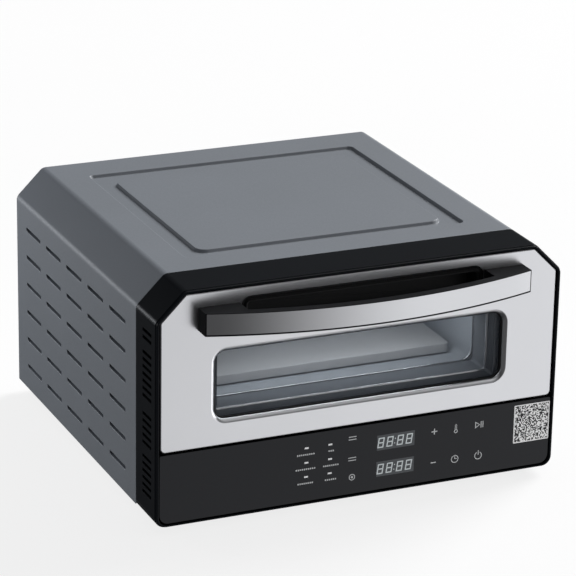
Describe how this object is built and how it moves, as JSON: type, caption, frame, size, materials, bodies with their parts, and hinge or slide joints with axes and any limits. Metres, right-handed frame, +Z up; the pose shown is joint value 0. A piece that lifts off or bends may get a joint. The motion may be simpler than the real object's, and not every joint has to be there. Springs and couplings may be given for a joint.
{
  "type": "toaster oven",
  "caption": "Countertop electric pizza oven: chamfered steel casing, glazed drop-down door with bowed handle, touch panel, baking stone and two tube heaters.",
  "frame": {"origin": "centre of the whole object's footprint box, at the height of the feet's undersides", "axes": "+Z up; the door and the handle face -Y; +X to the right as one faces the door"},
  "size_m": [0.46, 0.491, 0.265],
  "materials": {
    "casing_paint": "satin powder coat",
    "black_screws": "black oxide",
    "galvanised_sheet": "galvanised",
    "bezel_plastic": "satin moulded",
    "cavity_steel": "dull pressed sheet",
    "mineral_wool": "felted",
    "element_sheath": "heat darkened",
    "bright_steel": "zinc plated",
    "steatite": "unglazed",
    "cutout_case": "phenolic",
    "cordierite": "dry fired, matte",
    "seal_rope": "matte",
    "panel_glass": "polished black glass",
    "panel_print": "screen printed ink",
    "led_lens": "frosted",
    "display_film": "tinted film",
    "digit_bars": "unlit segments",
    "display_case": "moulded",
    "sticker_paper": "coated paper",
    "backing_plastic": "moulded",
    "circuit_board": "solder mask",
    "chip_plastic": "moulded",
    "touch_spring_brass": "plain",
    "relay_plastic": "moulded",
    "wire_sleeve": "silicone sleeve",
    "fan_plastic": "moulded",
    "foot_rubber": "matte",
    "door_steel": "fine vertical brushing",
    "gasket_rubber": "matte",
    "door_glass": "tempered",
    "spacer_aluminium": "dark anodised",
    "inner_steel": "bright pressed sheet",
    "pocket_plastic": "moulded",
    "grip_plastic": "fine moulded grain",
    "strip_steel": "lengthwise brushing"
  },
  "bodies": {
    "root": {"outer_casing": "casing_paint", "rear_panel": "casing_paint", "casing_screws": "black_screws", "base_screws": "black_screws", "base_pan": "galvanised_sheet", "front_bezel": "bezel_plastic", "front_plate": "cavity_steel", "oven_liner": "cavity_steel", "insulation_blanket": "mineral_wool", "upper_element": "element_sheath", "lower_element": "element_sheath", "element_clips": "bright_steel", "element_terminals": "steatite", "temperature_probe": "bright_steel", "thermal_cutout": "cutout_case", "stone_rests": "bright_steel", "door_seal": "seal_rope", "control_glass": "panel_glass", "panel_legends": "panel_print", "preset_leds": "led_lens", "display_windows": "display_film", "display_digits": "digit_bars", "display_modules": "display_case", "corner_sticker": "sticker_paper", "panel_backing": "backing_plastic", "control_board": "circuit_board", "board_parts": "chip_plastic", "touch_springs": "touch_spring_brass", "power_board": "circuit_board", "power_parts": "relay_plastic", "wiring_loom": "wire_sleeve", "fan_frame": "fan_plastic", "fan_motor": "bright_steel", "cord_gland": "backing_plastic", "rear_spacers": "backing_plastic", "feet": "foot_rubber", "foot_screws": "bright_steel", "plate_screws": "bright_steel", "hinge_bracket_left": "galvanised_sheet", "hinge_bracket_right": "galvanised_sheet"},
    "door": {"door_skin": "door_steel", "window_gasket": "gasket_rubber", "door_outer_glass": "door_glass", "glass_spacer": "spacer_aluminium", "door_inner_glass": "door_glass", "glass_clips": "bright_steel", "door_inner_frame": "inner_steel", "hinge_lugs": "bright_steel", "hinge_pins": "bright_steel", "door_springs": "bright_steel", "handle_pocket": "pocket_plastic", "handle_grip": "grip_plastic", "handle_strip": "strip_steel", "handle_screws": "bright_steel", "door_screws": "bright_steel"},
    "stone": {"baking_stone": "cordierite"},
    "fan": {"fan_impeller": "fan_plastic"}
  },
  "joints": [
    {"name": "door_hinge", "type": "hinge", "parent": "root", "child": "door", "pos_m": [0, -0.19, 0.0975], "axis": [1, 0, 0], "range_deg": [0, 90], "stiffness_Nm_per_rad": 0.3, "springref_deg": -11.46},
    {"name": "stone_lift", "type": "slide", "parent": "root", "child": "stone", "axis": [0, 0, 1], "range_m": [0, 0.02]},
    {"name": "fan_spin", "type": "hinge", "parent": "root", "child": "fan", "pos_m": [-0.12, 0.2185, 0.051], "axis": [0, 1, 0], "continuous": true}
  ]
}
